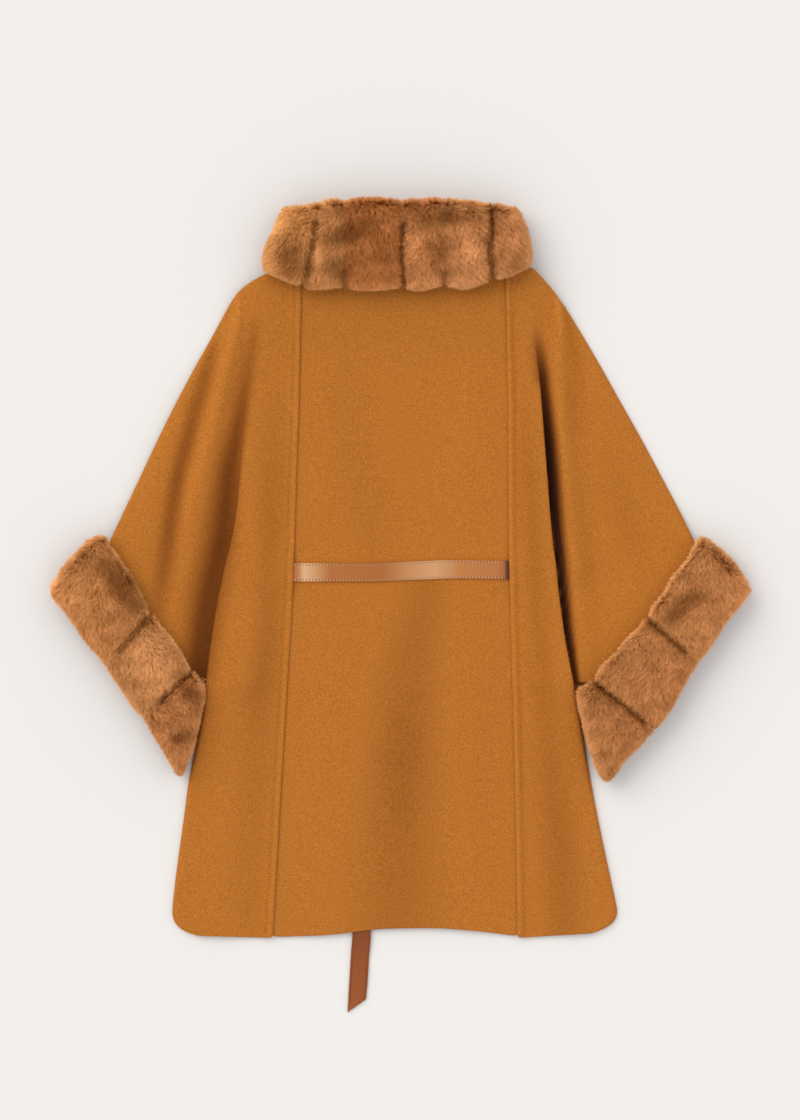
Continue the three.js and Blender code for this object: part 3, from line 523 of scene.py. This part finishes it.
def leather_material(node, low, high, along):
    material, shader = new_material(f"smooth_leather_{node}", Roughness=0.42, Specular_IOR_Level=0.35)
    place = new_node(material, "ShaderNodeTexCoord")
    parts = new_node(material, "ShaderNodeSeparateXYZ", [("Vector", place.outputs["Object"])])
    share = new_node(material, "ShaderNodeMapRange", [("Value", parts.outputs[along])])
    share.inputs["From Min"].default_value = low
    share.inputs["From Max"].default_value = high
    # The ramp gives the leather's own tones, and on the belt across the back its painted gloss and painted
    # shadow.
    ramp = new_node(material, "ShaderNodeValToRGB", [("Fac", share.outputs["Result"])])
    tones = LEATHER_TONES_AND_PAINTED_GLOSS[node]
    while len(ramp.color_ramp.elements) < len(tones):
        ramp.color_ramp.elements.new(1.0)
    for element, (at, tone) in zip(ramp.color_ramp.elements, tones):
        element.position = at
        element.color = linear(tone)
    grain = new_node(
        material, "ShaderNodeTexNoise", [("Vector", place.outputs["Object"])], Scale=900.0, Detail=2.0)
    bump = new_node(
        material, "ShaderNodeBump", [("Height", grain.outputs["Fac"])], Strength=0.12, Distance=0.0004)
    material.node_tree.links.new(ramp.outputs["Color"], shader.inputs["Base Color"])
    material.node_tree.links.new(bump.outputs["Normal"], shader.inputs["Normal"])
    return material


def span_at(points, edges, along, at):
    """Where a strap's two long edges are, across it, at one place along it."""
    across = 1 - along
    start, end = points[edges[:, 0]], points[edges[:, 1]]
    crossed = (start[:, along] - at) * (end[:, along] - at) < 0
    start, end = start[crossed], end[crossed]
    t = (at - start[:, along]) / (end[:, along] - start[:, along])
    places = start[:, across] + t * (end[:, across] - start[:, across])
    return places.min(), places.max()


def stitch(strap, along, first, last):
    """Short raised threads along both long edges of a strap, and between them flat dark spots of painted
    shade for the holes.
    """
    points = points_of(strap)
    edges = np.array([edge.vertices[:] for edge in strap.data.edges])
    work = bmesh.new()
    for number in range(int((last - first) / STITCH_PITCH)):
        at = first + number * STITCH_PITCH
        near, far = span_at(points, edges, along, at)
        next_near, next_far = span_at(points, edges, along, at + STITCH_PITCH)
        for here, there, inset in ((near, next_near, STITCH_INSET), (far, next_far, -STITCH_INSET)):
            spot = (at, here + inset) if along == 0 else (here + inset, at)
            hit, place, _, _ = strap.ray_cast((*spot, ABOVE_ALL), (0, 0, -1))
            if not hit:
                continue
            turn = math.atan2(there - here, STITCH_PITCH)
            turn = turn if along == 0 else math.pi / 2 - turn
            laid = Matrix.Translation(place) @ Matrix.Rotation(turn, 4, "Z")
            thread = laid @ Matrix.Diagonal((STITCH_LONG / 2, STITCH_WIDE / 2, STITCH_WIDE / 2, 1))
            bmesh.ops.create_uvsphere(work, u_segments=6, v_segments=4, radius=1.0, matrix=thread)
            faces_before = len(work.faces)
            hole = (laid @ Matrix.Translation((STITCH_PITCH / 2, 0, 0))
                    @ Matrix.Diagonal((HOLE_WIDE / 2, HOLE_WIDE / 2, HOLE_RISE, 1)))
            bmesh.ops.create_uvsphere(work, u_segments=6, v_segments=4, radius=1.0, matrix=hole)
            work.faces.ensure_lookup_table()
            for face in work.faces[faces_before:]:
                face.material_index = 1
    threads = bpy.data.meshes.new(f"stitches_{strap.name}")
    work.to_mesh(threads)
    work.free()
    piece = bpy.data.objects.new(f"stitches_{strap.name}", threads)
    scene.collection.objects.link(piece)
    return piece


for node, plan in LEATHER_PIECES.items():
    along = plan["along"]
    strap = refined_copy([node], f"leather_{node}", 0)
    rounded = strap.modifiers.new("rounded", "BEVEL")
    rounded.width = LEATHER_BEVEL
    rounded.segments = 2
    rounded.limit_method = "ANGLE"
    rounded.angle_limit = math.radians(40)
    rounded.harden_normals = True
    take_only(strap)
    bpy.ops.object.modifier_apply(modifier="rounded")
    low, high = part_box(node)
    strap.data.materials.append(leather_material(node, low[along], high[along], along))
    if plan["stitched"]:
        threads = stitch(strap, along, *plan["stitched"])
        waxed, _ = new_material(f"waxed_thread_{node}", Base_Color=linear(plan["thread"]), Roughness=0.6)
        # The holes are flat dark spots: painted shade.
        pierced, _ = new_material(f"painted_hole_shade_{node}", Base_Color=linear(HOLE_PAINTED_SHADE))
        threads.data.materials.append(waxed)
        threads.data.materials.append(pierced)
        take_only(threads)
        bpy.ops.object.shade_smooth()
        take_only(strap)
        threads.select_set(True)
        bpy.ops.object.join()
    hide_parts(node)
    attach(strap, "root")


# Short dyed fur pelts, sewn side by side: six round the back of the collar and three on each cuff show, and
# plain ones close the rings below. The skin is a softly waved copy of the pelt's solid, sunk into the hair.
# The hair is thousands of thin blades in small tufts, which lie the way they were brushed.
FUR_SEED = 11
PELTS = {
    "collar_pelt_1": {"hairs": 50000, "brushed": (-0.35, -0.55), "tone": "#fff4dc"},
    "collar_pelt_2": {"hairs": 40000, "brushed": (-0.1, -0.7), "tone": "#fff2e0"},
    "collar_pelt_3": {"hairs": 60000, "brushed": (0.1, -0.7), "tone": "#f0d2b4"},
    "collar_pelt_4": {"hairs": 47000, "brushed": (-0.1, -0.7), "tone": "#fbe8d6"},
    "collar_pelt_5": {"hairs": 50000, "brushed": (0.15, -0.7), "tone": "#fff0e2"},
    "collar_pelt_6": {"hairs": 47000, "brushed": (0.35, -0.55), "tone": "#fff0e0"},
    "collar_front_left": {"hairs": 8000, "brushed": (0, -0.6), "tone": "#ffeedd"},
    "collar_front_right": {"hairs": 8000, "brushed": (0, -0.6), "tone": "#ffeedd"},
    "cuff_left_upper": {"hairs": 75000, "brushed": (-0.05, -0.75), "tone": "#fff0dc"},
    "cuff_left_middle": {"hairs": 55000, "brushed": (0.1, -0.75), "tone": "#fff4e6"},
    "cuff_left_lower": {"hairs": 52000, "brushed": (0.1, -0.75), "tone": "#f6e2d0"},
    "cuff_left_under": {"hairs": 11000, "brushed": (0, -0.6), "tone": "#ffeedd"},
    "cuff_right_upper": {"hairs": 75000, "brushed": (0.05, -0.75), "tone": "#fff0e0"},
    "cuff_right_middle": {"hairs": 62000, "brushed": (-0.15, -0.7), "tone": "#f8e6d4"},
    "cuff_right_lower": {"hairs": 57000, "brushed": (-0.15, -0.7), "tone": "#f6e4d2"},
    "cuff_right_under": {"hairs": 11000, "brushed": (0, -0.6), "tone": "#ffeedd"},
}

# A pelt's surface swells in soft waves. Edges that turn by more than PELT_SHARP degrees are kept in part.
PELT_LEVELS = 2
PELT_SHARP = 50
PELT_CREASE = 0.35
PELT_SWELL = 0.0024
PELT_WAVE = 0.0018
PELT_WAVE_SIZE = 0.026
PELT_WAVE_SEED = 11

# The skin lies this share of the hair's depth below that surface. Nothing lies lower over the floor than
# the clear heights.
SKIN_SUNK = 0.8
SKIN_DARKER = 0.6
SKIN_CLEAR = 0.0002
HAIR_CLEAR = 0.0003

# The hair at full size. On a thin pelt all of it is smaller, so that it fits a share of the pelt's height.
HAIR_DEPTH = 0.0055
HAIR_LENGTH = 0.0105
HAIR_LENGTHS = (0.75, 1.15)
HAIR_WIDTH = 0.0008
HAIR_LIFT = 0.60
HAIR_SPREAD = 0.16
HAIR_TWIST = 0.25
HAIR_TONES = (0.82, 1.18)
THIN_PELT_SHARE = 0.3

# Tufts are cells of a turned lattice with frayed borders, and each tuft's tips are drawn together.
TUFT = 0.0024
TUFT_FRAYED = 0.22
TUFT_PULL = 0.40
TUFT_SPREAD = 0.14
TUFT_TONES = (0.80, 1.20)
LATTICE = np.array([[0.8, 0.6, 0], [-0.48, 0.64, 0.6], [0.36, -0.48, 0.8]])
BRUSH_TURN = 0.7
BRUSH_TURN_SIZE = 0.032
BRUSH_TURN_SEED = 7
BRUSH_SPREAD = 0.22

# At a pelt's rim, seen against the light floor, the hair is a little shorter and more raised, and painted
# light makes its roots paler.
FRINGE_LIFT = 0.1
FRINGE_SHORTER = 0.15
FRINGE_PAINTED_LIGHT = 0.65
FRINGE_FACING = 1.5
BLADE_LIE = 0.35
BLADE_UP = 0.9

# The dye: darker, redder roots and pale tips, mottled.
FUR_ROOT = "#cf7827"
FUR_TIP = "#ffc485"
# Darker dye and the creases' painted shade both turn redder by these powers.
DYE_AND_SHADE_TONE = np.array([1.0, 1.3, 1.65, 1.0])
DYE_MOTTLE = 0.12
DYE_MOTTLE_SIZE = 0.014
DYE_MOTTLE_SEED = 19

# Where the dye is darker or lighter: centre, half sizes, turn in degrees, and the factor on the colour.
PATCH_COLUMNS = ("x", "y", "long", "wide", "turn", "shade")
PATCH_FADE = (0.3, 1.5)
PATCHES = [dict(zip(PATCH_COLUMNS, row)) for row in (
    (-0.140, 0.452, 0.028, 0.015, 100, 0.60),
    (-0.150, 0.495, 0.026, 0.012, 60, 1.14),
    (-0.066, 0.488, 0.036, 0.014, 15, 0.58),
    (-0.079, 0.440, 0.018, 0.022, 90, 0.66),
    (-0.020, 0.462, 0.026, 0.020, 0, 0.82),
    (-0.106, 0.470, 0.036, 0.009, 85, 1.14),
    (-0.050, 0.422, 0.040, 0.006, 0, 1.12),
    (0.050, 0.508, 0.036, 0.011, 0, 0.60),
    (0.026, 0.476, 0.018, 0.009, 70, 1.18),
    (0.052, 0.462, 0.024, 0.010, 80, 0.74),
    (0.090, 0.462, 0.026, 0.018, 90, 1.26),
    (0.050, 0.422, 0.050, 0.006, 5, 1.16),
    (0.140, 0.486, 0.026, 0.014, 110, 1.16),
    (0.148, 0.444, 0.018, 0.012, 60, 0.82),
    (-0.356, 0.028, 0.040, 0.018, -58, 0.50),
    (-0.392, 0.062, 0.024, 0.012, -40, 0.74),
    (-0.432, 0.018, 0.034, 0.014, -55, 1.16),
    (-0.360, -0.020, 0.022, 0.016, -55, 0.92),
    (-0.322, -0.070, 0.044, 0.022, -52, 1.24),
    (-0.270, -0.108, 0.026, 0.012, -60, 0.62),
    (-0.276, -0.160, 0.012, 0.012, 0, 0.60),
    (-0.289, -0.164, 0.008, 0.006, 0, 0.5),
    (0.366, 0.006, 0.034, 0.014, 40, 0.54),
    (0.440, 0.018, 0.026, 0.014, 60, 1.12),
    (0.340, -0.090, 0.030, 0.018, 45, 1.08),
    (0.262, -0.112, 0.020, 0.010, -40, 0.80),
)]

# Painted shade in the creases at the sewn seams: each from the garment's side to the far side, and how dark
# each is.
CREASE_COLUMNS = ("near_x", "near_y", "far_x", "far_y", "dark")
CREASE_WIDTH = 0.0035
CREASES = [dict(zip(CREASE_COLUMNS, row)) for row in (
    (-0.124, 0.410, -0.106, 0.500, 0.55),
    (-0.070, 0.410, -0.072, 0.438, 0.40),
    (0.003, 0.410, 0.003, 0.500, 0.75),
    (0.056, 0.410, 0.056, 0.436, 0.40),
    (0.117, 0.418, 0.115, 0.526, 0.60),
    (-0.316, -0.002, -0.362, -0.052, 0.55),
    (-0.265, -0.076, -0.310, -0.118, 0.60),
    (0.316, -0.008, 0.366, -0.052, 0.50),
    (0.246, -0.088, 0.316, -0.144, 0.60),
)]

# The free ends are rounded off: the middle of each corner's arc, its radius and the way it points.
CORNER_COLUMNS = ("x", "y", "radius", "toward")
CORNER_HALF_ANGLE = 60
CORNER_REACH = 2.5
CORNERS = [dict(zip(CORNER_COLUMNS, row)) for row in (
    (-0.387, 0.074, 0.018, 70),
    (-0.436, 0.024, 0.016, 165),
    (-0.281, -0.208, 0.011, -90),
    (0.387, 0.076, 0.016, 110),
    (0.438, 0.026, 0.016, 10),
    (0.262, -0.212, 0.014, -110),
    (-0.150, 0.498, 0.020, 120),
    (0.150, 0.498, 0.020, 60),
)]


def round_corners(points):
    for corner in CORNERS:
        off = points[:, :2] - (corner["x"], corner["y"])
        far = np.maximum(np.linalg.norm(off, axis=1), 1e-6)
        toward = np.radians(corner["toward"])
        facing = off @ (math.cos(toward), math.sin(toward)) / far
        pulled = (facing > math.cos(math.radians(CORNER_HALF_ANGLE))) & (far > corner["radius"])
        pulled &= far < corner["radius"] * CORNER_REACH
        points[pulled, :2] -= (off * (1 - corner["radius"] / far[:, None]))[pulled]


def unit(vectors):
    return vectors / np.maximum(np.linalg.norm(vectors, axis=1, keepdims=True), 1e-9)


def scatter(piece, count, chance):
    """Places and normals of evenly scattered points on a mesh."""
    mesh = piece.data
    mesh.calc_loop_triangles()
    corners = np.empty(len(mesh.loop_triangles) * 3, dtype=np.int64)
    mesh.loop_triangles.foreach_get("vertices", corners)
    corners = corners.reshape(-1, 3)
    points, normals = points_of(piece), normals_of(piece)
    a, b, c = (points[corners[:, i]] for i in range(3))
    areas = np.linalg.norm(np.cross(b - a, c - a), axis=1)
    chosen = chance.choice(len(areas), size=count, p=areas / areas.sum())
    u, v = chance.random(count), chance.random(count)
    u, v = np.where(u + v > 1, 1 - u, u), np.where(u + v > 1, 1 - v, v)
    weights = np.stack([1 - u - v, u, v], axis=1)[:, :, None]
    places = (points[corners[chosen]] * weights).sum(axis=1)
    ups = unit((normals[corners[chosen]] * weights).sum(axis=1))
    return places, ups


def in_tufts(places, chance):
    """The tuft that each hair belongs to."""
    frayed = chance.normal(0, TUFT * TUFT_FRAYED, places.shape)
    cells = np.floor((places @ LATTICE + frayed) / TUFT).astype(np.int64)
    _, tuft = np.unique(cells, axis=0, return_inverse=True)
    return tuft.reshape(-1)


def tuft_mean(values, tuft):
    sums = np.zeros((tuft.max() + 1, values.shape[1]))
    np.add.at(sums, tuft, values)
    return sums / np.bincount(tuft)[:, None]


def dye_and_crease_shade(points):
    """How light or dark the fur is at each place: its dye patches, and painted shade in its seam creases.
    """
    shade = np.ones(len(points))
    for patch in PATCHES:
        turn = math.radians(patch["turn"])
        dx, dy = points[:, 0] - patch["x"], points[:, 1] - patch["y"]
        far = np.hypot((dx * math.cos(turn) + dy * math.sin(turn)) / patch["long"],
                       (dy * math.cos(turn) - dx * math.sin(turn)) / patch["wide"])
        shade *= 1 + (patch["shade"] - 1) * (1 - ease(*PATCH_FADE, far))
    # Painted shade along each seam crease.
    for crease in CREASES:
        start = np.array([crease["near_x"], crease["near_y"]])
        end = np.array([crease["far_x"], crease["far_y"]])
        _, far = beside(points, start, end)
        shade *= 1 - crease["dark"] * np.exp(-(far / CREASE_WIDTH) ** 2)
    return shade


def pelt_skin(node):
    """A refined copy of the pelt's solid, swollen in soft waves and rounded at its free corners."""
    skin = refined_copy([node], f"fur_{node}", PELT_LEVELS, sharp=PELT_SHARP, crease=PELT_CREASE)
    shape = points_of(skin)
    swell = PELT_SWELL + PELT_WAVE * ripples(shape, PELT_WAVE_SIZE, PELT_WAVE_SEED)
    shape += normals_of(skin) * swell[:, None]
    round_corners(shape)
    shape[:, 2] = np.maximum(shape[:, 2], HAIR_CLEAR)
    set_points(skin, shape)
    return skin


def hair_blades(places, ups, tuft, way, scale, chance):
    """The corners of each hair's thin triangle, the way each hair lies, and how far each tuft is fringe.
    A tuft's hairs lie the way they were brushed, and their tips are drawn together."""
    middles = tuft_mean(places, tuft)
    turns = BRUSH_TURN * ripples(middles, BRUSH_TURN_SIZE, BRUSH_TURN_SEED)
    turns += chance.normal(0, BRUSH_SPREAD, len(middles))
    brushed = np.stack([
        way[0] * np.cos(turns) - way[1] * np.sin(turns),
        way[0] * np.sin(turns) + way[1] * np.cos(turns),
        np.zeros(len(turns))], axis=1)
    tuft_up = unit(tuft_mean(ups, tuft))
    brushed -= (brushed * tuft_up).sum(axis=1, keepdims=True) * tuft_up
    fringe = np.clip(1 - tuft_up[:, 2:], 0, 1)
    tuft_lie = tuft_up * HAIR_LIFT + brushed + fringe * (0, 0, FRINGE_LIFT)
    tuft_lie = unit(tuft_lie + chance.normal(0, TUFT_SPREAD, middles.shape))
    lie = unit(tuft_lie[tuft] + chance.normal(0, HAIR_SPREAD, places.shape))
    length = HAIR_LENGTH * scale * chance.uniform(*HAIR_LENGTHS, (len(places), 1))
    length *= 1 - FRINGE_SHORTER * fringe[tuft]
    depth = HAIR_DEPTH * scale
    roots = places - ups * depth
    gathered = middles[tuft] - tuft_up[tuft] * depth + tuft_lie[tuft] * length
    tips = (roots + lie * length) * (1 - TUFT_PULL) + gathered * TUFT_PULL
    tips[:, 2] = np.maximum(tips[:, 2], HAIR_CLEAR)
    roots[:, 2] = np.maximum(roots[:, 2], HAIR_CLEAR)
    facing = ups + fringe[tuft] * (0, 0, FRINGE_FACING) + chance.normal(0, HAIR_TWIST, places.shape)
    across = unit(np.cross(lie, facing)) * HAIR_WIDTH / 2
    blades = np.stack([roots - across, roots + across, tips], axis=1)
    blades[:, :, 2] = np.maximum(blades[:, :, 2], SKIN_CLEAR)
    return blades, lie, fringe


def hair_colours(places, tuft, fringe, tone, chance):
    """The colour at each corner of each hair's triangle: two at its root and one at its tip."""
    shade = dye_and_crease_shade(places)[:, None] * chance.uniform(*HAIR_TONES, (len(places), 1))
    shade *= chance.uniform(*TUFT_TONES, (len(fringe), 1))[tuft]
    shade *= 1 + DYE_MOTTLE * ripples(places, DYE_MOTTLE_SIZE, DYE_MOTTLE_SEED)[:, None]
    shade = shade ** DYE_AND_SHADE_TONE
    root, tip = np.array(linear(FUR_ROOT)), np.array(linear(FUR_TIP))
    # Painted light at the rim: the roots take on the tips' paler colour.
    painted_light = FRINGE_PAINTED_LIGHT * fringe[tuft]
    at_root = (root * (1 - painted_light) + tip * painted_light) * tone * shade
    colours = np.stack([at_root, at_root, tip * tone * shade], axis=1)
    colours[:, :, 3] = 1
    return colours


def grow_fur(node, pelt, chance):
    """One pelt's skin and hair as one piece. The blades are lit as the fur's surface, not as flat chips."""
    skin = pelt_skin(node)
    places, ups = scatter(skin, pelt["hairs"], chance)
    low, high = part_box(node)
    scale = min(1, (high[2] - low[2]) * THIN_PELT_SHARE / HAIR_DEPTH)
    tuft = in_tufts(places, chance)
    tone = np.array(linear(pelt["tone"]))
    blades, lie, fringe = hair_blades(places, ups, tuft, pelt["brushed"], scale, chance)
    colours = hair_colours(places, tuft, fringe, tone, chance)

    hair = bpy.data.meshes.new(f"hair_{node}")
    hair.from_pydata(blades.reshape(-1, 3), [], np.arange(len(places) * 3).reshape(-1, 3))
    paint(hair, "hair_colour", colours)
    hair.materials.append(fur_hair)
    hair_piece = bpy.data.objects.new(f"hair_{node}", hair)
    scene.collection.objects.link(hair_piece)

    skin_normals = normals_of(skin)
    skin_points = points_of(skin)
    skin_shade = np.array(linear(FUR_ROOT)) * tone * dye_and_crease_shade(skin_points)[:, None] ** DYE_AND_SHADE_TONE * SKIN_DARKER
    skin_shade[:, 3] = 1
    skin_points -= skin_normals * (HAIR_DEPTH * scale) * SKIN_SUNK
    skin_points[:, 2] = np.maximum(skin_points[:, 2], SKIN_CLEAR)
    set_points(skin, skin_points)
    paint(skin.data, "hair_colour", skin_shade)
    skin.data.materials.append(fur_hair)
    take_only(skin)
    hair_piece.select_set(True)
    bpy.ops.object.join()
    bpy.ops.object.shade_smooth()
    blade_normals = np.repeat(unit(ups + lie * BLADE_LIE + (0, 0, BLADE_UP)), 3, axis=0)
    skin.data.normals_split_custom_set_from_vertices(np.concatenate([skin_normals, blade_normals]))
    return skin


fur_hair, fur_shader = new_material("dyed_short_fur", Roughness=0.85, Specular_IOR_Level=0.12)
fur_tone = new_node(fur_hair, "ShaderNodeAttribute", attribute_name="hair_colour")
fur_hair.node_tree.links.new(fur_tone.outputs["Color"], fur_shader.inputs["Base Color"])

for number, (node, pelt) in enumerate(PELTS.items()):
    fur = grow_fur(node, pelt, np.random.default_rng(FUR_SEED + number))
    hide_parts(node)
    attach(fur, "root")

low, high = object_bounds()
